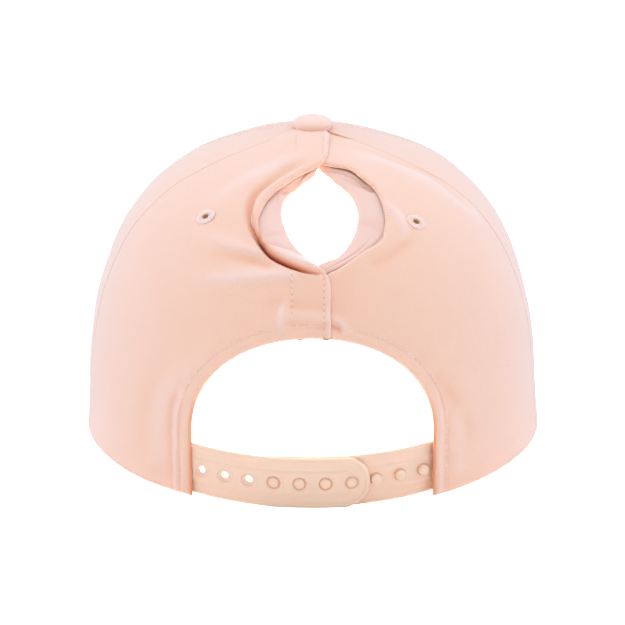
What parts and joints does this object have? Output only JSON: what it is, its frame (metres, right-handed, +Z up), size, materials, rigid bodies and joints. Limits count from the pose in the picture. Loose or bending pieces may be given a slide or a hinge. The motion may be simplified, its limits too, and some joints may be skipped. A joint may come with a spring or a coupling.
{
  "type": "five-panel cap",
  "caption": "Curved-visor cloth cap with a lapped ponytail opening in its back seam, an arch below it and a plastic snap strap.",
  "frame": {"origin": "on the surface that the cap rests on, under the middle of its box", "axes": "+Z up, -Y the way the visor points, +X towards the wearer's left"},
  "size_m": [0.185, 0.2636, 0.1424],
  "materials": {
    "cotton_twill": "brushed cotton twill, matt",
    "facing_tape": "elasticated woven facing, matt",
    "sweatband_cotton": "plain woven cotton, matt",
    "embroidery_thread": "polyester thread, soft sheen",
    "moulded_strap": "moulded polyethylene, satin"
  },
  "bodies": {
    "root": {"back_panel_left": "cotton_twill", "back_panel_right": "cotton_twill", "side_panel_left": "cotton_twill", "side_panel_right": "cotton_twill", "front_panel": "cotton_twill", "facing_left": "facing_tape", "facing_right": "facing_tape", "visor": "cotton_twill", "sweatband": "sweatband_cotton", "button": "cotton_twill", "eyelet_left": "embroidery_thread", "eyelet_right": "embroidery_thread", "strap_left": "moulded_strap", "strap_right": "moulded_strap"}
  },
  "joints": []
}
